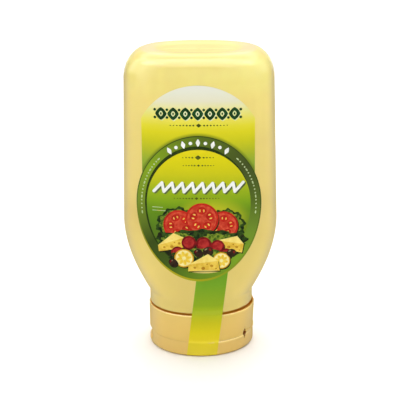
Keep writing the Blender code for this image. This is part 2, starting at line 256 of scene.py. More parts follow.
class Nodes:
    """A material's node tree, with short calls for the nodes used here."""

    def __init__(self, name, **shader_values):
        self.material = bpy.data.materials.new(name)
        self.material.use_nodes = True
        self.tree = self.material.node_tree
        self.shader = self.tree.nodes["Principled BSDF"]
        for socket, value in shader_values.items():
            self.shader.inputs[socket.replace("_", " ")].default_value = value
        self.point = self.new("ShaderNodeTexCoord").outputs["Object"]

    def new(self, kind, **settings):
        node = self.tree.nodes.new(kind)
        for key, value in settings.items():
            setattr(node, key, value)
        return node

    def link(self, source, target):
        if isinstance(source, (int, float)):
            target.default_value = source
        else:
            self.tree.links.new(source, target)

    def math(self, operation, first, second=0.0):
        node = self.new("ShaderNodeMath", operation=operation)
        self.link(first, node.inputs[0])
        self.link(second, node.inputs[1])
        return node.outputs[0]

    def plus(self, first, second):
        return self.math("ADD", first, second)

    def minus(self, first, second):
        return self.math("SUBTRACT", first, second)

    def times(self, first, second):
        return self.math("MULTIPLY", first, second)

    def over(self, first, second):
        return self.math("DIVIDE", first, second)

    def axis(self, name):
        node = self.new("ShaderNodeSeparateXYZ")
        self.link(self.point, node.inputs[0])
        return node.outputs[name]

    def between(self, value, low, high):
        """0 at low and 1 at high."""
        node = self.new("ShaderNodeMapRange", interpolation_type="SMOOTHSTEP")
        self.link(value, node.inputs["Value"])
        node.inputs["From Min"].default_value = low
        node.inputs["From Max"].default_value = high
        return node.outputs["Result"]

    def ramp(self, factor, stops, interpolation="EASE"):
        """A colour ramp over (place, (red, green, blue)) stops in screen colours."""
        node = self.new("ShaderNodeValToRGB")
        elements = node.color_ramp.elements
        node.color_ramp.interpolation = interpolation
        while len(elements) < len(stops):
            elements.new(0.5)
        for element, (place, colour) in zip(elements, stops):
            element.position = place
            element.color = linear(*colour)
        self.link(factor, node.inputs["Fac"])
        return node.outputs["Color"]

    def height_ramp(self, low, high, stops):
        """A colour ramp that runs evenly from one height to another."""
        height = self.between(self.axis("Z"), low, high)
        height.node.interpolation_type = "LINEAR"
        return self.ramp(height, stops, "LINEAR")

    def noise(self, scale, detail=2.0, roughness=0.5):
        node = self.new("ShaderNodeTexNoise")
        node.inputs["Scale"].default_value = scale
        node.inputs["Detail"].default_value = detail
        node.inputs["Roughness"].default_value = roughness
        self.link(self.point, node.inputs["Vector"])
        return node.outputs["Fac"]

    def blend(self, factor, first, second, mode="MIX"):
        node = self.new("ShaderNodeMix", data_type="RGBA", blend_type=mode)
        self.link(factor, node.inputs["Factor"])
        for source, socket in ((first, node.inputs[6]), (second, node.inputs[7])):
            if isinstance(source, tuple):
                socket.default_value = linear(*source)
            else:
                self.link(source, socket)
        return node.outputs[2]

    def colour(self, source):
        self.link(source, self.shader.inputs["Base Color"])

    def roughness(self, factor, low, high):
        value = self.plus(self.times(factor, high - low), low)
        self.link(value, self.shader.inputs["Roughness"])

    def dim_glancing(self):
        """Mirror less towards the outline, as in a studio with dark sides, but not near the top. Returns how
        near the outline is."""
        share = self.between(self.new("ShaderNodeLayerWeight").outputs["Facing"], DIM_START, DIM_END)
        near_top = self.between(self.axis("Z"), TOTAL_HEIGHT - DIM_FADE_START, TOTAL_HEIGHT - DIM_FADE_END)
        share = self.times(share, self.minus(1.0, near_top))
        level = self.times(self.minus(1.0, share), FULL_SPECULAR_LEVEL)
        self.link(level, self.shader.inputs["Specular IOR Level"])
        return share

    def bump(self, height, distance, strength=1.0):
        node = self.new("ShaderNodeBump")
        node.inputs["Strength"].default_value = strength
        node.inputs["Distance"].default_value = distance
        self.link(height, node.inputs["Height"])
        self.link(node.outputs["Normal"], self.shader.inputs["Normal"])


def bottle_material():
    """Blow-moulded bottle, opaque pale yellow with mayonnaise behind it."""
    nodes = Nodes("bottle_plastic", Subsurface_Weight=0.2, Subsurface_Scale=0.006, IOR=1.35)
    nodes.shader.inputs["Subsurface Radius"].default_value = (1.0, 0.75, 0.35)
    height = nodes.axis("Z")
    cloud = nodes.between(nodes.noise(28.0, 3.0), 0.35, 0.65)
    # Painted light and shade: the ramp is darker around the shoulder and lighter towards the top, with a
    # painted highlight near the top's rounded edge.
    body = nodes.ramp(
        nodes.between(height, SKIRT_FOOT, TOTAL_HEIGHT),
        (
            (0.0, (224, 200, 109)), (0.12, (226, 202, 109)), (0.35, (221, 195, 104)), (0.54, (233, 209, 115)),
            (0.73, (238, 215, 119)), (0.92, (249, 227, 128)), (0.97, (251, 234, 134)),
            (0.990, (254, 240, 142)), (0.996, (254, 240, 143)), (1.0, (246, 226, 142)),
        ),
    )
    moulded = nodes.blend(cloud, body, nodes.blend(0.5, body, (236, 212, 118)))
    # Painted reflection: the top's face turns paler towards its sides.
    aside = nodes.between(nodes.math("ABSOLUTE", nodes.axis("X")), TOP_PALE_START, TOP_PALE_END)
    on_top = nodes.between(height, TOTAL_HEIGHT - DISH_MIDDLE_DEPTH, TOTAL_HEIGHT - TOP_FACE_DEPTH)
    moulded = nodes.blend(nodes.times(aside, on_top), moulded, (238, 218, 160))
    # Painted shade: the colour darkens towards the outline.
    edge = nodes.times(nodes.dim_glancing(), 0.8)
    nodes.colour(nodes.blend(edge, moulded, (192, 170, 106)))
    nodes.roughness(nodes.noise(160.0, 4.0), 0.17, 0.24)
    nodes.bump(nodes.noise(420.0, 3.0), 0.00002, 0.35)
    return nodes.material


def closure_material(name, top_colour, foot_colour):
    """Injection-moulded closure with a fine satin grain."""
    nodes = Nodes(name, Subsurface_Weight=0.12, Subsurface_Scale=0.004, IOR=1.4)
    nodes.shader.inputs["Subsurface Radius"].default_value = (1.0, 0.6, 0.25)
    height = nodes.axis("Z")
    moulded = nodes.ramp(nodes.between(height, 0.0, COLLAR_TOP), ((0.0, foot_colour), (1.0, top_colour)))
    # Painted highlight along the collar's rounded top edge.
    rim = nodes.between(height, COLLAR_TOP - RIM_LINE_FOOT, COLLAR_TOP - RIM_LINE_TOP)
    moulded = nodes.blend(nodes.times(rim, 0.8), moulded, (255, 228, 134))
    # Painted highlight along the lid's lip below the seam, towards the hinge.
    below_seam = nodes.between(height, SEAM_HEIGHT - LIP_LINE_FOOT, SEAM_HEIGHT - LIP_LINE_TOP)
    in_collar = nodes.between(height, SEAM_HEIGHT, SEAM_HEIGHT + FINE)
    towards_hinge = nodes.between(nodes.axis("X"), LIP_LINE_START, LIP_LINE_END)
    lip = nodes.times(nodes.times(below_seam, nodes.minus(1.0, in_collar)), towards_hinge)
    moulded = nodes.blend(nodes.times(lip, 0.8), moulded, (255, 226, 138))
    moulded = nodes.blend(nodes.times(nodes.noise(60.0, 3.0), 0.25), moulded, foot_colour)
    # Painted shade: the colour darkens towards the outline.
    edge = nodes.times(nodes.dim_glancing(), 0.7)
    nodes.colour(nodes.blend(edge, moulded, (194, 168, 108)))
    nodes.roughness(nodes.noise(300.0, 4.0), 0.34, 0.44)
    nodes.bump(nodes.noise(1600.0), 0.00001, 0.5)
    return nodes.material


def hollow_material(name, light, dark, glow):
    """The same plastic inside a gap or slit, with painted shade and glow: a deep amber colour and a faint
    glow stand in for the shade there and the light that comes back.
    """
    nodes = Nodes(name, IOR=1.3, Roughness=0.6, Emission_Strength=glow)
    nodes.shader.inputs["Emission Color"].default_value = linear(*light)
    nodes.colour(nodes.blend(nodes.noise(200.0), light, dark))
    return nodes.material


def film_nodes(name):
    return Nodes("print_" + name, IOR=1.12)


def finished_film(nodes, colour):
    """Printed film: faint unevenness in the ink, a smooth gloss and a slightly wavy surface."""
    grain = nodes.times(nodes.noise(900.0), 0.05)
    nodes.colour(nodes.blend(grain, colour, (255, 255, 255), "OVERLAY"))
    nodes.roughness(nodes.noise(120.0, 3.0), 0.30, 0.38)
    nodes.bump(nodes.noise(55.0), 0.00004, 0.3)
    return nodes.material


def length(nodes, x, z):
    """How far a point lies from x = 0, z = 0."""
    return nodes.math("SQRT", nodes.plus(nodes.times(x, x), nodes.times(z, z)))


def medallion_distance(nodes):
    """1 on the medallion's egg-shaped outline and less inside it."""
    x = nodes.over(nodes.axis("X"), EGG_HALF_WIDTH * MM)
    z = nodes.minus(nodes.axis("Z"), EGG_MIDDLE * MM)
    upper = nodes.over(nodes.math("MAXIMUM", z), EGG_RISE * MM)
    lower = nodes.over(nodes.math("MINIMUM", z), EGG_DROP * MM)
    return length(nodes, x, nodes.plus(upper, lower))


def panel_material():
    """Upper panel: from a milky white arch through yellow to lime green, darker round the medallion."""
    nodes = film_nodes("panel")
    base = nodes.height_ramp(
        PANEL_RAMP_FOOT * MM, ARCH_TOP * MM,
        (
            (0.0, (128, 162, 52)), (0.11, (148, 172, 50)), (0.23, (180, 188, 40)), (0.35, (206, 203, 32)),
            (0.46, (224, 215, 34)), (0.53, (232, 222, 56)), (0.61, (238, 227, 92)), (0.72, (237, 232, 144)),
            (0.82, (238, 234, 202)), (0.92, (238, 238, 216)), (1.0, (239, 238, 224)),
        ),
    )
    halo = nodes.minus(1.0, nodes.between(medallion_distance(nodes), 1.0, 1.055))
    return finished_film(nodes, nodes.blend(nodes.times(halo, 0.75), base, (104, 124, 26)))


def turn_share(nodes):
    """Where a point lies round the medallion: 0 and 1 on the left, 0.25 at the foot, 0.75 at the top."""
    up = nodes.minus(nodes.axis("Z"), EGG_MIDDLE * MM)
    turn = nodes.math("ARCTAN2", up, nodes.axis("X"))
    return nodes.plus(nodes.over(turn, 2.0 * math.pi), 0.5)


def ring_material():
    """Ring round the medallion: lime on the upper left, nearly black green on the lower left and upper
    right, mid green at the foot."""
    nodes = film_nodes("ring")
    base = nodes.ramp(
        turn_share(nodes),
        (
            (0.0, (114, 138, 38)), (0.11, (58, 76, 22)), (0.17, (64, 86, 26)), (0.24, (98, 132, 32)),
            (0.34, (120, 158, 38)), (0.43, (108, 138, 42)), (0.51, (84, 104, 34)), (0.61, (68, 80, 36)),
            (0.75, (92, 114, 30)), (0.89, (134, 166, 32)), (1.0, (114, 138, 38)),
        ),
        "LINEAR",
    )
    return finished_film(nodes, base)


def disc_material():
    """Disc inside the ring: warm yellow at the top, deep green low down, a yellow glow round the food."""
    nodes = film_nodes("disc")
    base = nodes.height_ramp(
        DISC_RAMP_FOOT * MM, DISC_RAMP_TOP * MM,
        (
            (0.0, (58, 96, 24)), (0.29, (84, 116, 28)), (0.38, (88, 126, 28)), (0.49, (100, 142, 26)),
            (0.57, (128, 164, 26)), (0.65, (152, 178, 28)), (0.72, (182, 190, 28)), (0.79, (204, 201, 26)),
            (0.86, (216, 208, 22)), (0.93, (224, 213, 20)), (1.0, (232, 214, 32)),
        ),
    )
    x, z, half_width, half_height = (value * MM for value in FOOD_GLOW)
    east = nodes.over(nodes.minus(nodes.axis("X"), x), half_width)
    north = nodes.over(nodes.minus(nodes.axis("Z"), z), half_height)
    glow = nodes.minus(1.0, nodes.between(length(nodes, east, north), 0.4, 1.0))
    return finished_film(nodes, nodes.blend(nodes.times(glow, 0.7), base, (206, 200, 40)))


def rim_material():
    """Fine outline of the medallion: dark green, and olive yellow round the lower left."""
    nodes = film_nodes("rim")
    base = nodes.ramp(
        turn_share(nodes),
        (
            (0.0, (84, 108, 28)), (0.06, (120, 132, 26)), (0.12, (176, 162, 22)), (0.24, (176, 166, 24)),
            (0.30, (142, 152, 32)), (0.38, (104, 130, 36)), (0.5, (62, 80, 26)), (0.75, (54, 68, 20)),
            (1.0, (84, 108, 28)),
        ),
        "LINEAR",
    )
    return finished_film(nodes, base)


def ink(name, light, dark, scale=300.0):
    """One printed colour, mottled between a light and a dark tone."""
    nodes = film_nodes(name)
    cloud = nodes.between(nodes.noise(scale, 3.0, 0.6), 0.36, 0.64)
    return finished_film(nodes, nodes.blend(cloud, dark, light))


def strip_material():
    """Seal strip: green under the label, through lime to yellow at its foot."""
    nodes = film_nodes("strip")
    # Painted highlight: the lighter band low in the ramp lies at the seam, where the strip rides over the
    # lid's lip.
    base = nodes.height_ramp(
        0.0, STRIP_RAMP_TOP * MM,
        (
            (0.0, (230, 208, 60)), (0.155, (228, 208, 48)), (0.175, (246, 226, 62)), (0.20, (232, 210, 42)),
            (0.29, (223, 206, 32)), (0.42, (199, 193, 32)), (0.50, (180, 190, 36)), (0.57, (160, 182, 34)),
            (0.61, (142, 172, 34)), (0.70, (134, 168, 36)), (0.85, (116, 162, 38)), (1.0, (104, 154, 36)),
        ),
    )
    return finished_film(nodes, base)


# Meshes


def new_piece(name, points, faces, materials, smooth_angle=40.0, face_materials=None):
    mesh = bpy.data.meshes.new(name)
    mesh.from_pydata(points, [], faces)
    for material in materials:
        mesh.materials.append(material)
    if face_materials:
        mesh.polygons.foreach_set("material_index", face_materials)
    mesh.shade_smooth()
    mesh.set_sharp_from_angle(angle=math.radians(smooth_angle))
    mesh.update()
    obj = bpy.data.objects.new(name, mesh)
    bpy.context.scene.collection.objects.link(obj)
    return obj


def loft(name, rings, materials, smooth_angle=40.0, paint=None):
    """A closed piece through rings of the same number of points, anticlockwise from above and from the foot
    up, with a flat fan over each end. paint(middle) gives the number of a face's material."""
    count = len(rings[0])
    points = [point for ring in rings for point in ring]
    faces = []
    for row in range(len(rings) - 1):
        for i in range(count):
            j = (i + 1) % count
            faces.append((row * count + i, row * count + j, (row + 1) * count + j, (row + 1) * count + i))
    for row, turned_down in ((0, True), (len(rings) - 1, False)):
        middle = len(points)
        points.append(sum(rings[row], Vector()) / count)
        for i in range(count):
            j = (i + 1) % count
            edge = (row * count + j, row * count + i) if turned_down else (row * count + i, row * count + j)
            faces.append((*edge, middle))
    paints = None
    if paint:
        paints = [int(paint(sum((points[v] for v in face), Vector()) / len(face))) for face in faces]
    return new_piece(name, points, faces, materials, smooth_angle, paints)


# The bottle's section at a height


def shoulder_share(z):
    return clamp((z - STEP_HEIGHT) / (SHOULDER_HEIGHT - STEP_HEIGHT))


def rounding(z, rise, run):
    share = max(0.0, (z - (TOTAL_HEIGHT - rise)) / rise)
    return run * (1.0 - math.sqrt(max(0.0, 1.0 - share * share)))


def body_size(z, foot_size, full_size, top_size):
    if z < SHOULDER_HEIGHT:
        return mix(full_size, foot_size, (1.0 - shoulder_share(z)) ** SHOULDER_POWER)
    taper_top = TOTAL_HEIGHT - SIDE_CORNER_RISE
    return mix(full_size, top_size, (z - SHOULDER_HEIGHT) / (taper_top - SHOULDER_HEIGHT))


def half_width(z):
    size = body_size(z, SKIRT_RADIUS, BODY_WIDTH / 2, TOP_WIDTH / 2)
    return size - rounding(z, SIDE_CORNER_RISE, SIDE_CORNER_RUN)


def half_depth(z):
    size = body_size(z, SKIRT_RADIUS * PLAN_DEPTH_SHARE, BODY_DEPTH / 2, TOP_DEPTH / 2)
    return size - rounding(z, FRONT_CORNER_RISE, FRONT_CORNER_RUN)


def squareness(z):
    if z < SHOULDER_HEIGHT:
        return mix(RIM_SQUARENESS, BODY_SQUARENESS, smooth(shoulder_share(z)))
    corner_share = max(0.0, (z - (TOTAL_HEIGHT - SIDE_CORNER_RISE)) / SIDE_CORNER_RISE)
    return mix(BODY_SQUARENESS, CREST_SQUARENESS, corner_share)


def front_of_body(x, z):
    a, b, exponent = half_width(z), half_depth(z), squareness(z)
    return -b * (1.0 - min(1.0, abs(x) / a) ** exponent) ** (1.0 / exponent)


def section_turns():
    """Turns round the section, with extra ones beside the parting line on both sides."""
    turns = [2.0 * math.pi * i / SECTION_POINTS for i in range(SECTION_POINTS)]
    for middle in (0.0, math.pi):
        for offset in PARTING_POINTS:
            turns += [(middle + offset) % (2.0 * math.pi), (middle - offset) % (2.0 * math.pi)]
    return sorted(turns)


def oval(a, b, exponent, z, turns):
    points = []
    for turn in turns:
        x, y = a * math.cos(turn), b * math.sin(turn)
        reach = (abs(x / a) ** exponent + abs(y / b) ** exponent) ** (-1.0 / exponent)
        points.append(Vector((x * reach, y * reach, z)))
    return points


def plan_oval(radius, z, turns):
    return oval(radius, radius * PLAN_DEPTH_SHARE, RIM_SQUARENESS, z, turns)


def ridge(distance, width):
    return math.exp(-((distance / width) ** 2))


def bottle(materials):
    """The shut bottle, with the mould's parting line down both sides and a pinched seam across the dish."""
    turns = section_turns()
    rings = [plan_oval(SPIGOT_RADIUS, SPIGOT_FOOT, turns), plan_oval(SPIGOT_RADIUS, SKIRT_FOOT, turns)]
    for turn in edge_turns():
        radius = SKIRT_RADIUS - SKIRT_EDGE * (1.0 - math.sin(turn))
        rings.append(plan_oval(radius, SKIRT_FOOT + SKIRT_EDGE * (1.0 - math.cos(turn)), turns))
    corner_foot = TOTAL_HEIGHT - SIDE_CORNER_RISE
    heights = steps(SKIRT_FOOT + SKIRT_EDGE, STEP_HEIGHT, SKIRT_STEPS)
    heights += steps(STEP_HEIGHT, SHOULDER_HEIGHT, SHOULDER_STEPS)
    heights += steps(SHOULDER_HEIGHT, corner_foot, BODY_STEPS)
    corner_turns = steps(0.0, math.pi / 2, CORNER_STEPS)
    heights += [corner_foot + SIDE_CORNER_RISE * math.sin(turn) for turn in corner_turns]
    for z in heights:
        ring = oval(half_width(z), half_depth(z), squareness(z), z, turns)
        if z > STEP_HEIGHT:
            for point in ring:
                point.x += math.copysign(PARTING_LINE_PROUD * ridge(point.y, PARTING_LINE_WIDTH), point.x)
        rings.append(ring)
    a, b = half_width(TOTAL_HEIGHT), half_depth(TOTAL_HEIGHT)
    for share in steps(0.0, 1.0, DISH_STEPS):
        sink = DISH_DEPTH * (1.0 - math.cos(math.pi * share)) / 2
        inset = DISH_LIP * share
        rings.append(oval(a - inset, b - inset, CREST_SQUARENESS, TOTAL_HEIGHT - sink, turns))
    floor_a, floor_b = a - DISH_LIP, b - DISH_LIP
    for inward in steps(0.0, 1.0, DISH_STEPS)[:-1]:
        share = 1.0 - inward
        exponent = mix(DISH_MIDDLE_SQUARENESS, CREST_SQUARENESS, share)
        z = TOTAL_HEIGHT - mix(DISH_MIDDLE_DEPTH, DISH_DEPTH, share * share)
        ring = oval(floor_a * share, floor_b * share, exponent, z, turns)
        for point in ring:
            length_fade = smooth((PINCH_HALF_LENGTH - abs(point.x)) / (4.0 * PINCH_WIDTH))
            point.z += PINCH_PROUD * ridge(point.y, PINCH_WIDTH) * length_fade
        rings.append(ring)
    # Faces below the skirt's foot take the gap's painted shade and glow.
    return loft("bottle_body", rings, materials, paint=lambda middle: middle.z < SKIRT_FOOT + SKIRT_EDGE / 4)


# The closure


def flare_share(z):
    return clamp((z - FLARE_FOOT) / (COLLAR_TOP - FLARE_FOOT))


def plan_squareness(z):
    return mix(FOOT_SQUARENESS, RIM_SQUARENESS, flare_share(z))


def plan_radius(x, y, z):
    """The radius, in the closure's plan, of the wall through a point."""
    exponent = plan_squareness(z)
    return (abs(x) ** exponent + abs(y / PLAN_DEPTH_SHARE) ** exponent) ** (1.0 / exponent)


def tucked(x, y, z):
    """What share of its radius the closure keeps in a direction: a little less at the back of the rim."""
    return 1.0 - RIM_TUCK * flare_share(z) * smooth(TUCK_START + TUCK_SLOPE * y / math.hypot(x, y))


def from_front(azimuth, radius, z):
    """A point of the closure by its azimuth in degrees from the front towards the right."""
    x, y = math.sin(math.radians(azimuth)), -math.cos(math.radians(azimuth))
    reach = radius * tucked(x, y, z) / plan_radius(x, y, z)
    return Vector((x * reach + RIM_SHIFT * flare_share(z), y * reach, z))


def around(azimuth, middle):
    """Signed angle from middle, -180 to 180."""
    return (azimuth - middle + 180.0) % 360.0 - 180.0


def closure_azimuths():
    """Columns round the closure, close together across the two slits beside the hinge panel."""
    azimuths = [360.0 * i / CLOSURE_POINTS for i in range(CLOSURE_POINTS)]
    slit_reach = math.degrees(SLIT_WIDTH / CLOSURE_RADIUS)
    for side in (-1, 1):
        middle = HINGE_AZIMUTH + side * HINGE_HALF_ANGLE
        azimuths = [a for a in azimuths if abs(around(a, middle)) > slit_reach]
        columns = range(-SLIT_COLUMNS, SLIT_COLUMNS)
        azimuths += [middle + slit_reach * (i + 0.5) / SLIT_COLUMNS for i in columns]
    return sorted(azimuths)


def seam_height(azimuth):
    """The split between the collar and the lid. It steps up over the hinge panel, sags along it and rises a
    little at the thumb's flat."""
    from_hinge = around(azimuth, HINGE_AZIMUTH)
    share = from_hinge / HINGE_HALF_ANGLE
    if abs(share) < 1.0:
        return HINGE_TOP - HINGE_SAG * (1.0 - share * share)
    return SEAM_HEIGHT + NOTCH_RISE * smooth((abs(from_hinge) - NOTCH_RISE_START) / NOTCH_RISE_RUN)


def slit_depth(azimuth, z):
    """A spindle-shaped cut at each side of the hinge panel."""
    share = (z - SLIT_FOOT) / (SLIT_TOP - SLIT_FOOT)
    if not 0.0 < share < 1.0:
        return 0.0
    half = SLIT_WIDTH / 2 * math.sin(math.pi * share) ** SLIT_POINTEDNESS
    offset = abs(abs(around(azimuth, HINGE_AZIMUTH)) - HINGE_HALF_ANGLE)
    away = math.radians(offset) * CLOSURE_RADIUS
    return SLIT_DEPTH * (1.0 - smooth((away - half + FINE) / (2.0 * FINE)))


def notch_depth(azimuth, z):
    """A flat for the thumb across the lid's wall, opposite the hinge."""
    offset = math.radians(around(azimuth, HINGE_AZIMUTH + 180.0))
    if z > seam_height(azimuth) or abs(offset) > math.pi / 4:
        return 0.0
    flat = CLOSURE_RADIUS - (CLOSURE_RADIUS - NOTCH_DEPTH) / math.cos(offset)
    return max(0.0, flat) * smooth((z - NOTCH_FOOT) / NOTCH_EDGE)


def wall_radius(azimuth, z):
    radius = mix(CLOSURE_RADIUS, RIM_RADIUS, flare_share(z))
    return radius - slit_depth(azimuth, z) - notch_depth(azimuth, z)


def lip_share(azimuth):
    """How far the lid's lip shows: not on the left, and fully towards the hinge."""
    turn = around(azimuth, 0.0)
    ends = smooth((turn - LIP_START) / LIP_START_RUN) * smooth((LIP_END - turn) / LIP_END_RUN)
    beside_hinge = smooth((abs(around(azimuth, HINGE_AZIMUTH)) - HINGE_HALF_ANGLE) / LIP_HINGE_RUN)
    return ends * mix(LIP_HINGE_SHARE, 1.0, beside_hinge)


def lip_bulge(azimuth, below):
    """How far the lid's lip stands out at a depth below the seam."""
    if below < LIP_RISE:
        shape = below / LIP_RISE
    else:
        shape = 1.0 - smooth((below - LIP_RISE) / LIP_FALL)
    return LIP_PROUD * lip_share(azimuth) * shape


def turned(name, columns, materials, paint):
    """A closed piece from profiles, one a column, that run from the axis at the foot to the axis on top."""
    rings = [list(ring) for ring in zip(*columns)]
    return loft(name, rings, materials, 35.0, paint)


def in_slit(middle):
    radius = plan_radius(middle.x, middle.y, middle.z)
    return middle.x > 0.0 and SLIT_FOOT < middle.z < SLIT_TOP and radius < CLOSURE_RADIUS - SLIT_DEPTH / 5


def in_pocket(middle):
    x = middle.x - RIM_SHIFT * flare_share(middle.z)
    radius = plan_radius(x, middle.y, middle.z) / tucked(x, middle.y, middle.z) if x else 0.0
    return middle.z > POCKET_FLOOR - FINE and radius < POCKET_RADIUS + FINE


def collar(materials):
    columns = []
    inner_foot = SEAM_HEIGHT + SEAM_GAP / 2
    top = COLLAR_TOP - COLLAR_EDGE
    for azimuth in closure_azimuths():
        foot = seam_height(azimuth) + SEAM_GAP / 2
        profile = [
            (AXIS_RADIUS, inner_foot), (HINGE_INNER_RADIUS - 3.0 * PANEL_PLAY, inner_foot),
            (HINGE_INNER_RADIUS - PANEL_PLAY, foot), (wall_radius(azimuth, foot) - SHARP_EDGE, foot),
        ]
        heights = [foot + SHARP_EDGE] + steps(foot + SHARP_EDGE, top, COLLAR_ROWS)
        profile += [(wall_radius(azimuth, z), z) for z in heights]
        for turn in edge_turns(1):
            inset = COLLAR_EDGE * (1.0 - math.cos(turn))
            profile.append((RIM_RADIUS - inset, top + COLLAR_EDGE * math.sin(turn)))
        profile += [
            (POCKET_RADIUS + POCKET_EDGE, COLLAR_TOP), (POCKET_RADIUS, COLLAR_TOP - POCKET_EDGE),
            (POCKET_RADIUS, POCKET_FLOOR), (AXIS_RADIUS, POCKET_FLOOR),
        ]
        columns.append([from_front(azimuth, radius, z) for radius, z in profile])
    # Faces in the pocket take the gap's painted shade and glow, and those in the slits the slit's.
    return turned("collar", columns, materials, lambda middle: 2 * in_slit(middle) or in_pocket(middle))


def lid(materials):
    columns = []
    inner_top = SEAM_HEIGHT - SEAM_GAP / 2
    for azimuth in closure_azimuths():
        top = seam_height(azimuth) - SEAM_GAP / 2
        profile = [(AXIS_RADIUS, 0.0)]
        for turn in edge_turns():
            inset = LID_EDGE * (1.0 - math.sin(turn))
            profile.append((CLOSURE_RADIUS - inset, LID_EDGE * (1.0 - math.cos(turn))))
        for z in steps(LID_EDGE, top, LID_ROWS):
            profile.append((wall_radius(azimuth, z) + lip_bulge(azimuth, top - z), z))
        profile += [
            (HINGE_INNER_RADIUS + PANEL_PLAY, top), (HINGE_INNER_RADIUS, inner_top), (AXIS_RADIUS, inner_top),
        ]
        columns.append([from_front(azimuth, radius, z) for radius, z in profile])
    # Faces in the slits take the slit's painted shade and glow.
    return turned("lid", columns, materials, in_slit)


# The flat drawing of the label: loops of (x, z) in millimetres, anticlockwise


def egg(middle, half, rise, drop, shift=0.0, turns=None):
    """An egg-shaped loop, anticlockwise from its foot."""
    turns = turns or [360.0 * i / EGG_POINTS - 90.0 for i in range(EGG_POINTS)]
    loop = []
    for degrees in turns:
        turn = math.radians(degrees)
        reach = rise if math.sin(turn) > 0.0 else drop
        loop.append((shift + half * math.cos(turn), middle + reach * math.sin(turn)))
    return loop


def waist_turn():
    """Where the medallion's egg crosses the panel's straight side, in degrees above its middle."""
    return math.degrees(math.acos(PANEL_HALF_WIDTH / EGG_HALF_WIDTH))


def lower_egg_turns():
    return [-90.0] + steps(-90.0, waist_turn(), EGG_LOWER_STEPS)


def egg_turns():
    """Turns of the medallion, with one exactly at each waist."""
    right = lower_egg_turns() + steps(waist_turn(), 90.0, EGG_UPPER_STEPS)
    return right + [180.0 - turn for turn in reversed(right[1:-1])]


def label_outline():
    """The die-cut edge: the medallion's lower part, straight sides and the round arch."""
    right = egg(EGG_MIDDLE, EGG_HALF_WIDTH, EGG_RISE, EGG_DROP, turns=lower_egg_turns())
    arch_middle = ARCH_TOP - ARCH_RADIUS
    arch_start = math.acos(PANEL_HALF_WIDTH / ARCH_RADIUS)
    side_top = arch_middle + ARCH_RADIUS * math.sin(arch_start)
    right += [(PANEL_HALF_WIDTH, z) for z in steps(right[-1][1], side_top, SIDE_STEPS)[:-1]]
    for turn in [arch_start] + steps(arch_start, math.pi / 2, ARCH_STEPS):
        right.append((ARCH_RADIUS * math.cos(turn), arch_middle + ARCH_RADIUS * math.sin(turn)))
    return right + [(-x, z) for x, z in reversed(right[1:-1])]


def inside_label(x, z):
    reach = EGG_RISE if z > EGG_MIDDLE else EGG_DROP
    in_egg = (x / EGG_HALF_WIDTH) ** 2 + ((z - EGG_MIDDLE) / reach) ** 2 < 1.0
    drop = ARCH_TOP - z
    in_arch = z > EGG_MIDDLE and drop > 0.0 and abs(x) < PANEL_HALF_WIDTH
    if in_arch and drop < ARCH_RADIUS:
        in_arch = x * x < drop * (2.0 * ARCH_RADIUS - drop)
    return in_egg or in_arch


def leaned(x, z, u, v, degrees):
    """The point u across and v up from x, z, when both directions lean anticlockwise."""
    tilt = math.radians(degrees)
    return x + u * math.cos(tilt) - v * math.sin(tilt), z + u * math.sin(tilt) + v * math.cos(tilt)


def blob(x, z, width, height, turn=0.0, count=28, power=2.0):
    """A superellipse; power 1 is a lozenge."""
    loop = []
    for i in range(count):
        angle = 2.0 * math.pi * i / count
        u = math.copysign(abs(math.cos(angle)) ** (2.0 / power), math.cos(angle)) * width / 2
        v = math.copysign(abs(math.sin(angle)) ** (2.0 / power), math.sin(angle)) * height / 2
        loop.append(leaned(x, z, u, v, turn))
    return loop


def bar(start, end, width, count=7):
    """A stroke with round ends."""
    along = math.atan2(end[1] - start[1], end[0] - start[0])
    loop = []
    for (x, z), first in ((start, along + math.pi / 2), (end, along - math.pi / 2)):
        for i in range(count):
            turn = first + math.pi * i / (count - 1)
            loop.append((x + width / 2 * math.cos(turn), z + width / 2 * math.sin(turn)))
    return loop


def frill(x, z, width, height, turn, lobes, depth, phase=0.0, count=96):
    """A leaf's frilled outline."""
    loop = []
    for i in range(count):
        angle = 2.0 * math.pi * i / count
        waves = math.sin(lobes * angle + phase) + 0.5 * math.sin((2 * lobes + 3) * angle + phase)
        wave = 1.0 + depth * waves
        u, v = width / 2 * wave * math.cos(angle), height / 2 * wave * math.sin(angle)
        loop.append(leaned(x, z, u, v, turn))
    return loop


def round_slice(x, z, size, skin, inside, share):
    """A round slice's shadow, skin and inside, the inside by its share of the size."""
    return [
        ("shade", blob(x + 0.5, z - 0.7, size, size, count=40)),
        (skin, blob(x, z, size, size, count=40)),
        (inside, blob(x, z, size * share, size * share, count=36)),
    ]


def tomato(x, z, size, turn):
    """A slice of tomato: skin, flesh and seed chambers."""
    shapes = round_slice(x, z, size, "skin", "flesh", 0.88)
    for i in range(5):
        angle = turn + 72.0 * i
        chamber = leaned(x, z, size * 0.26, 0.0, angle)
        shapes.append(("skin", blob(*chamber, size * 0.24, size * 0.30, angle, 20, 1.7)))
        for side in (-1, 1):
            seed = leaned(*chamber, size * 0.06, 0.0, angle + 90.0 * side)
            shapes.append(("seed", blob(*seed, size * 0.09, size * 0.045, angle, 10)))
    return shapes


def lemon(x, z, size, turn):
    """A slice of lemon: rind, pith and segments."""
    shapes = round_slice(x, z, size, "rind", "pith", 0.87)
    for i in range(8):
        angle = turn + 45.0 * i
        segment = leaned(x, z, size * 0.235, 0.0, angle)
        shapes.append(("lemon", blob(*segment, size * 0.30, size * 0.17, angle, 18, 1.6)))
    return shapes


def olive(x, z, size, turn):
    """A stoned black olive."""
    hole = leaned(x, z, 0.34 * size, 0.0, turn)
    return [
        ("shade", blob(x + 0.4, z - 0.6, size * 1.15, size, turn)),
        ("olive_skin", blob(x, z, size * 1.15, size, turn)),
        ("olive_light", blob(x - 0.2 * size, z + 0.24 * size, size * 0.36, size * 0.16, 28.0, 14)),
        ("dark_red", blob(*hole, size * 0.22, size * 0.34, turn, 14)),
    ]


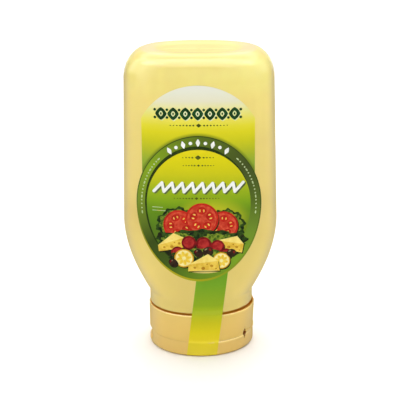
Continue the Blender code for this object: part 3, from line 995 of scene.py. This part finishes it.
def cheese(x, z, size, turn):
    """A wedge of cheese with holes, seen from its side."""
    corners = ((-0.62, -0.26), (0.62, -0.30), (0.58, 0.12), (0.20, 0.42), (-0.58, 0.02))
    holes = (
        (-0.34, -0.12, 0.11), (-0.02, -0.16, 0.15), (0.32, -0.08, 0.13),
        (0.14, 0.0, 0.07), (0.48, -0.2, 0.07),
    )
    wedge = [leaned(x, z, size * u, size * v, turn) for u, v in corners]
    shapes = [
        ("shade", [(u + 0.5, v - 0.7) for u, v in wedge]),
        ("cheese", [wedge[i] for i in (0, 1, 2, 4)]),
        ("cheese_top", [wedge[i] for i in (4, 2, 3)]),
    ]
    for u, v, hole in holes:
        middle = leaned(x, z, size * u, size * v, turn)
        shapes.append(("hole", blob(*middle, size * hole, size * hole * 0.85, turn, 16)))
    return shapes


def radish(x, z, size):
    return [
        ("shade", blob(x + 0.4, z - 0.6, size, size)),
        ("dark_red", blob(x, z, size, size)),
        ("blush", blob(x, z, size * 0.74, size * 0.74, count=24)),
    ]


def chain_band():
    """A chain of pointed ovals with beads between them, across the panel."""
    links, pitch, z = 7, 6.5, 139.3
    middles = [pitch * (i - (links - 1) / 2) for i in range(links)]
    shapes = [("glow", blob(x + 0.35, z - 0.35, 6.3, 7.2, 0.0, 32, 1.35)) for x in middles]
    for i in range(links + 1):
        x = pitch * (i - links / 2)
        shapes += [("deep_green", blob(x, z + side * 2.1, 1.5, 1.5, count=16)) for side in (-1, 1)]
    for x in middles:
        shapes.append(("deep_green", blob(x, z, 6.1, 6.9, 0.0, 32, 1.35)))
        shapes.append(("glow", blob(x, z, 2.2, 3.0, 0.0, 20, 1.5)))
        shapes.append(("deep_green", blob(x, z, 0.9, 1.4, 0.0, 14)))
    return shapes


def dotted_rule(colour, x, z, width, dot, pitch, lozenge):
    """A row of dots with a lozenge in the middle."""
    shapes = [(colour, blob(x, z, lozenge * 1.3, lozenge, 0.0, 16, 1.1))]
    count = round(width / 2 / pitch)
    for side in (-1, 1):
        for i in range(1, count + 1):
            size = dot * mix(1.0, 0.55, i / count)
            dot_x = x + side * (lozenge * 0.5 + pitch * i)
            shapes.append((colour, blob(dot_x, z, size * 1.25, size, 0.0, 10)))
    return shapes


def ring_point(degrees):
    """A point of the ring's middle line, by its turn from the top towards the right."""
    turn = math.radians(90.0 - degrees)
    reach = RING_RISE if math.sin(turn) > 0.0 else RING_DROP
    return RING_HALF_WIDTH * math.cos(turn), RING_MIDDLE + reach * math.sin(turn)


def ring_marks():
    """White lozenges and beads over the ring's top and small dots and dashes down its sides."""
    shapes = []
    for i in range(-4, 5):
        degrees = 7.4 * i
        if i % 2 == 0:
            shapes.append(("white", blob(*ring_point(degrees), 2.3, 4.3, -degrees, 20, 1.25)))
        else:
            shapes.append(("white", blob(*ring_point(degrees), 1.9, 1.9, 0.0, 18)))
    for side in (-1, 1):
        for i in range(17):
            degrees = side * (43.0 + 3.4 * i)
            size = (1.9, 0.75) if i % 4 == 0 else (0.85, 0.85)
            shapes.append(("pale", blob(*ring_point(degrees), *size, -degrees, 12)))
    return shapes


def piped_line():
    """A squeezed zigzag of white with a soft shadow under it."""
    half, low, high, lean, strokes = 23.2, 96.2, 101.2, 0.9, 17
    points = []
    for i in range(strokes + 1):
        x = mix(-half, half, i / strokes)
        points.append((x + lean, high) if i % 2 else (x - lean, low))
    shapes = []
    for colour, dx, dz, width in (("soft_shade", 0.75, -0.65, 1.7), ("white", 0.0, 0.0, 1.6)):
        moved = [(x + dx, z + dz) for x, z in points]
        shapes += [(colour, bar(start, end, width)) for start, end in zip(moved, moved[1:])]
    return shapes


def food_group():
    """Tomato, lettuce, radish, olive, lemon and cheese in a loose bunch."""
    radishes = ((-5.5, 67.4, 8.0), (2.6, 66.6, 8.4), (10.2, 65.4, 7.4), (-11.6, 61.6, 7.2), (14.6, 60.6, 7.0))
    olives = (
        (-14.2, 55.6, 4.6, 150.0), (4.8, 62.4, 5.0, 40.0), (-0.4, 61.6, 4.4, 160.0), (17.6, 61.4, 4.4, 10.0),
    )
    shapes = [
        ("shade", frill(1.5, 68.0, 48.0, 27.0, 0.0, 11, 0.05, 1.0)),
        ("leaf_dark", frill(-13.0, 79.0, 21.0, 16.0, 28.0, 9, 0.07)),
        ("leaf", frill(-13.6, 79.6, 17.0, 12.0, 28.0, 9, 0.08, 0.6)),
        ("leaf_dark", frill(16.0, 78.0, 19.0, 16.0, -32.0, 9, 0.07, 2.0)),
        ("leaf", frill(16.3, 78.8, 15.0, 12.0, -32.0, 9, 0.08, 2.4)),
    ]
    shapes += tomato(13.2, 77.0, 16.5, 10.0) + tomato(-10.8, 77.5, 17.0, 40.0) + tomato(1.8, 81.0, 18.0, 18.0)
    shapes += [
        ("leaf_dark", frill(1.5, 68.5, 48.0, 13.0, 0.0, 13, 0.06, 0.4, 128)),
        ("leaf", frill(-12.0, 69.6, 17.0, 6.6, 8.0, 9, 0.09, 1.2)),
        ("leaf", frill(12.0, 69.4, 18.0, 6.0, -8.0, 10, 0.09, 2.2)),
    ]
    shapes += cheese(-15.0, 67.0, 13.0, 14.0) + cheese(17.0, 66.6, 12.5, -16.0)
    for place in radishes:
        shapes += radish(*place)
    shapes += [
        ("leaf_dark", frill(1.0, 58.8, 34.0, 10.0, 0.0, 12, 0.06, 0.9, 120)),
        ("leaf", frill(1.5, 61.6, 20.0, 5.0, 0.0, 10, 0.09, 0.3)),
    ]
    shapes += lemon(-8.2, 58.4, 10.6, 10.0) + lemon(12.2, 57.0, 9.6, 30.0)
    for place in olives:
        shapes += olive(*place)
    return shapes + cheese(2.4, 54.9, 14.0, 3.0)


def drawing():
    """All the print, from the lowest colour up."""
    shade = (DISC_MIDDLE + 0.2, DISC_HALF_WIDTH + 0.5, DISC_RISE + 1.7, DISC_DROP + 0.2)
    shapes = [
        ("rim", egg(EGG_MIDDLE, EGG_HALF_WIDTH, EGG_RISE, EGG_DROP, turns=egg_turns())),
        ("ring", egg(EGG_MIDDLE, EGG_HALF_WIDTH - 0.6, EGG_RISE - 0.55, EGG_DROP - 1.2)),
        ("ring_shade", egg(*shade, -0.55)),
        ("disc", egg(DISC_MIDDLE, DISC_HALF_WIDTH, DISC_RISE, DISC_DROP)),
    ]
    shapes += chain_band() + dotted_rule("olive", 0.5, 133.0, 28.0, 1.0, 1.75, 2.2) + ring_marks()
    shapes += dotted_rule("olive", 0.0, 115.4, 12.0, 1.0, 1.7, 2.6)
    shapes += dotted_rule("olive", 0.2, 111.0, 14.0, 0.9, 1.5, 1.2)
    shapes += piped_line() + dotted_rule("olive", -1.0, 92.6, 22.0, 0.9, 1.6, 1.5)
    shapes.append(("pale", bar((-25.0, 87.2), (-19.6, 87.2), 0.35)))
    shapes.append(("pale", bar((-25.0, 85.4), (-17.6, 85.4), 0.35)))
    return shapes + food_group()


# Sheets on the wall


def wall_point(x, z, front, distance):
    """A point off a wall whose y is front(x, z), along the wall's normal, and that normal."""
    slope_x = (front(x + FINE, z) - front(x - FINE, z)) / (2.0 * FINE)
    slope_z = (front(x, z + FINE) - front(x, z - FINE)) / (2.0 * FINE)
    normal = Vector((slope_x, -1.0, slope_z)).normalized()
    return Vector((x, front(x, z), z)) + normal * distance, normal


def sheet_piece(name, places, triangles, paints, front, thickness, materials):
    """A thin closed sheet over a triangulated flat drawing, with the wall's own normals on its front."""
    points, normals = [], []
    for x, z in places:
        point, normal = wall_point(x * MM, z * MM, front, thickness)
        points.append(point)
        normals.append(normal)
    count = len(points)
    for x, z in places:
        points.append(wall_point(x * MM, z * MM, front, -FILM_SINK)[0])
    faces = [tuple(triangle) for triangle in triangles]
    faces += [(c + count, b + count, a + count) for a, b, c in triangles]
    paints = list(paints) * 2
    used = {}
    for triangle, paint in zip(triangles, paints):
        for i in range(3):
            used[(triangle[i], triangle[(i + 1) % 3])] = paint
    for (a, b), paint in used.items():
        if (b, a) not in used:
            faces.append((a, a + count, b + count, b))
            paints.append(paint)
    piece = new_piece(name, points, faces, materials, 30.0, paints)
    loop_normals = []
    for face in piece.data.polygons:
        on_front = face.index < len(triangles)
        loop_normals += [normals[v] if on_front else face.normal for v in face.vertices]
    piece.data.normals_split_custom_set(loop_normals)
    return piece


def label():
    """One die-cut sheet whose print is cut into fields of colour."""
    outline = label_outline()
    shapes = drawing()
    places, loops = [], []
    for loop in [outline] + [loop for _, loop in shapes]:
        loops.append(list(range(len(places), len(places) + len(loop))))
        places += loop
    for row in range(int((ARCH_TOP - EGG_MIDDLE + EGG_DROP) / DRAWING_STEP)):
        z = EGG_MIDDLE - EGG_DROP + DRAWING_STEP * (row + 0.5)
        for column in range(-28, 29):
            x = DRAWING_STEP * (column + 0.5 * (row % 2))
            if inside_label(x * 1.02, z - 0.5) and inside_label(x * 1.02, z + 0.5):
                places.append((x, z))
    made = geometry.delaunay_2d_cdt([Vector(place) for place in places], [], loops, 0, 1e-4, True)
    flat, triangles, covers = made[0], made[2], made[5]
    names = ["panel"] + sorted({name for name, _ in shapes})
    kept, paints = [], []
    for triangle, cover in zip(triangles, covers):
        if 0 in cover:
            top = max(cover)
            kept.append(triangle)
            paints.append(names.index(shapes[top - 1][0]) if top else 0)
    materials = [PRINTS[name] for name in names]
    places = [tuple(place) for place in flat]
    return sheet_piece("label_sheet", places, kept, paints, front_of_body, LABEL_THICKNESS, materials)


def strip_wall(x, z):
    """The front wall that the strip lies on: the shoulder, the skirt, and the collar and lid below them."""
    if z >= STEP_HEIGHT:
        return front_of_body(x, z)
    if z > COLLAR_TOP:
        bridge = smooth((z - COLLAR_TOP) / (STRIP_BRIDGE_TOP - COLLAR_TOP))
        radius = mix(RIM_RADIUS, SKIRT_RADIUS, bridge)
        x -= RIM_SHIFT * (1.0 - bridge)
    else:
        radius = mix(CLOSURE_RADIUS, RIM_RADIUS, flare_share(z))
        x -= RIM_SHIFT * flare_share(z)
    if z < SEAM_HEIGHT:
        radius += lip_bulge(math.degrees(math.asin(x / radius)), SEAM_HEIGHT - z)
    if z < LID_EDGE:
        radius -= LID_EDGE - math.sqrt(LID_EDGE ** 2 - (LID_EDGE - z) ** 2)
    exponent = plan_squareness(z)
    return -radius * PLAN_DEPTH_SHARE * (1.0 - (abs(x) / radius) ** exponent) ** (1.0 / exponent)


def strip_x(across, z):
    middle = mix(STRIP_FOOT_OFFSET, STRIP_TOP_OFFSET, (z - STRIP_FOOT) / (STRIP_OFFSET_HEIGHT - STRIP_FOOT))
    return middle + STRIP_WIDTH * (across - 0.5)


def strip_top(across):
    """The height where the strip meets the label's edge."""
    z = STRIP_OFFSET_HEIGHT
    for _ in range(4):
        share = strip_x(across, z) / EGG_HALF_WIDTH
        z = EGG_MIDDLE - EGG_DROP * math.sqrt(1.0 - share * share)
    return z


def strip():
    columns, rows = STRIP_COLUMNS, STRIP_ROWS
    places = []
    for j in range(rows + 1):
        for i in range(columns + 1):
            z = mix(STRIP_FOOT, strip_top(i / columns), j / rows)
            places.append((strip_x(i / columns, z), z))
    triangles = []
    for j in range(rows):
        for i in range(columns):
            a = j * (columns + 1) + i
            b, c, d = a + 1, a + columns + 2, a + columns + 1
            triangles += [(a, b, c), (a, c, d)]
    paints = [0] * len(triangles)
    materials = [strip_material()]
    return sheet_piece("strip_film", places, triangles, paints, strip_wall, STRIP_THICKNESS, materials)


# Studio


def area_light(name, place, target, width, height, power):
    data = bpy.data.lights.new(name, "AREA")
    data.shape = "RECTANGLE"
    data.size = width
    data.size_y = height
    data.energy = power
    light = bpy.data.objects.new(name, data)
    light.location = place
    light.rotation_euler = (Vector(target) - Vector(place)).to_track_quat("-Z", "Y").to_euler()
    bpy.context.scene.collection.objects.link(light)
    return light


def reflector(name, place, target, width, height, power):
    """A board whose light is only seen mirrored in the object's surfaces."""
    light = area_light(name, place, target, width, height, power)
    light.visible_diffuse = False
    light.visible_transmission = False


def overhead_light(strength, spread, tilt):
    """One wide soft light from above, leaning towards the front, that lights the floor evenly."""
    data = bpy.data.lights.new("overhead", "SUN")
    data.energy = strength
    data.angle = math.radians(spread)
    light = bpy.data.objects.new("overhead", data)
    light.rotation_euler = (math.radians(-tilt), 0.0, 0.0)
    bpy.context.scene.collection.objects.link(light)


def floor():
    nodes = Nodes("studio_floor", Roughness=0.7)
    nodes.colour(nodes.blend(nodes.noise(3.0), (240, 240, 240), (236, 236, 237)))
    half, thickness = 3.0, 0.01
    corners = ((-half, -half), (half, -half), (half, half), (-half, half))
    points = [Vector((x, y, z)) for z in (-thickness, -FLOOR_DROP) for x, y in corners]
    faces = [(3, 2, 1, 0), (4, 5, 6, 7)] + [(i, (i + 1) % 4, (i + 1) % 4 + 4, i + 4) for i in range(4)]
    return new_piece("floor", points, faces, [nodes.material])


def studio():
    floor()
    world = bpy.data.worlds.new("studio")
    world.use_nodes = True
    tree = world.node_tree

    def node(kind, source, operation=None, **inputs):
        made = tree.nodes.new(kind)
        if operation:
            made.operation = operation
        for name, value in inputs.items():
            made.inputs[name.replace("_", " ")].default_value = value
        tree.links.new(source, made.inputs[0])
        return made.outputs

    background = tree.nodes["Background"]
    background.inputs["Color"].default_value = (1.0, 1.0, 1.0, 1.0)
    direction = node("ShaderNodeSeparateXYZ", tree.nodes.new("ShaderNodeTexCoord").outputs["Generated"])
    depth = node("ShaderNodeMapRange", direction["Y"], From_Min=-1.0, To_Min=WORLD_FRONT, To_Max=WORLD_BACK)
    squared = node("ShaderNodeMath", direction["X"], "POWER")
    squared[0].node.inputs[1].default_value = 2.0
    sides = node("ShaderNodeMapRange", squared[0], To_Min=1.0, To_Max=WORLD_SIDE_SHARE)
    both = node("ShaderNodeMath", depth[0], "MULTIPLY")
    tree.links.new(sides[0], both[0].node.inputs[1])
    tree.links.new(both[0], background.inputs["Strength"])
    bpy.context.scene.world = world
    middle = (0.0, 0.0, TOTAL_HEIGHT / 2)
    top = (0.0, 0.0, TOTAL_HEIGHT)
    overhead_light(3.4, 84.0, 18.0)
    area_light("front_fill", (0.0, -1.1, 1.1), middle, 1.0, 0.8, 3.6)
    reflector("top_reflector", (0.0, -0.20, 0.78), top, 2.0, 0.6, 29.0)
    reflector("front_reflector", (0.0, -0.76, 0.56), top, 1.6, 0.72, 19.0)
    reflector("left_corner_reflector", (-0.8, 0.05, 0.62), top, 1.0, 0.8, 9.0)
    reflector("right_corner_reflector", (0.8, 0.05, 0.62), top, 1.0, 0.8, 7.0)
    reflector("left_reflector", (-0.75, -0.42, 0.45), middle, 0.55, 1.2, 6.6)
    reflector("right_reflector", (0.75, -0.42, 0.45), middle, 0.55, 1.2, 2.4)


def camera():
    """The photograph's view: from 2 degrees to the right and a little above."""
    azimuth, pitch = math.radians(CAMERA_AZIMUTH), math.radians(CAMERA_PITCH)
    data = bpy.data.cameras.new("camera")
    data.lens = CAMERA_LENS
    data.sensor_width = 36.0
    data.shift_x = CAMERA_SHIFT
    data.clip_start = 0.05
    data.clip_end = 20.0
    obj = bpy.data.objects.new("camera", data)
    outward = Vector((math.sin(azimuth), -math.cos(azimuth), 0.0))
    obj.location = outward * CAMERA_DISTANCE + Vector((0.0, 0.0, CAMERA_HEIGHT))
    forward = -outward * math.cos(pitch) - Vector((0.0, 0.0, math.sin(pitch)))
    right = forward.cross(Vector((0.0, 0.0, 1.0))).normalized()
    up = right.cross(forward) * math.cos(CAMERA_ROLL) + right * math.sin(CAMERA_ROLL)
    obj.rotation_euler = Matrix((forward.cross(up), up, -forward)).transposed().to_euler()
    bpy.context.scene.collection.objects.link(obj)
    bpy.context.scene.camera = obj


INKS = {
    "ring_shade": ((48, 66, 14), (34, 50, 12)),
    "deep_green": ((30, 74, 36), (18, 52, 24)),
    "glow": ((232, 236, 188), (220, 226, 150)),
    "olive": ((84, 92, 24), (64, 74, 20)),
    "white": ((250, 250, 244), (240, 242, 234)),
    "pale": ((196, 212, 156), (180, 198, 136)),
    "soft_shade": ((100, 112, 58), (84, 96, 52)),
    "shade": ((44, 46, 20), (26, 30, 14)),
    "leaf_dark": ((52, 78, 24), (16, 30, 12), 420.0),
    "leaf": ((132, 152, 44), (40, 78, 22), 560.0),
    "skin": ((206, 44, 28), (168, 30, 22), 320.0),
    "flesh": ((216, 84, 56), (190, 52, 34), 420.0),
    "seed": ((240, 206, 96), (226, 176, 70)),
    "dark_red": ((140, 24, 26), (92, 14, 18)),
    "blush": ((186, 52, 46), (146, 30, 30), 360.0),
    "olive_skin": ((58, 40, 26), (36, 24, 18)),
    "olive_light": ((150, 130, 96), (120, 104, 76)),
    "rind": ((228, 178, 36), (212, 156, 28)),
    "pith": ((248, 234, 160), (240, 222, 140)),
    "lemon": ((244, 212, 76), (232, 190, 52), 500.0),
    "cheese": ((240, 206, 84), (222, 178, 58)),
    "cheese_top": ((250, 228, 128), (240, 212, 104)),
    "hole": ((200, 146, 42), (172, 120, 32)),
}
PRINTS = {"panel": panel_material(), "rim": rim_material(), "ring": ring_material(), "disc": disc_material()}
PRINTS.update({name: ink(name, *tones) for name, tones in INKS.items()})

# Painted shade and glow for the closure's gap, the spigot under the skirt, the collar's pocket and the slits
# beside the hinge.
gap_material = hollow_material("closure_gap", (222, 156, 28), (198, 134, 20), 0.07)
slit_material = hollow_material("closure_slit", (142, 70, 2), (112, 52, 2), 0.05)
collar_material = closure_material("collar_plastic", (231, 194, 98), (228, 190, 94))
lid_material = closure_material("lid_plastic", (231, 195, 104), (228, 190, 99))
PIECES = (
    (bottle([bottle_material(), gap_material]), "bottle", "bottle"),
    (collar([collar_material, gap_material, slit_material]), "closure_collar", "collar"),
    (lid([lid_material, slit_material]), "closure_lid", "lid"),
    (label(), "label", "label"),
    (strip(), "seal_strip", "strip"),
)
for piece, node, slot in PIECES:
    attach(piece, "root")
    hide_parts(node)

studio()
camera()
bpy.context.scene.view_settings.view_transform = "Standard"
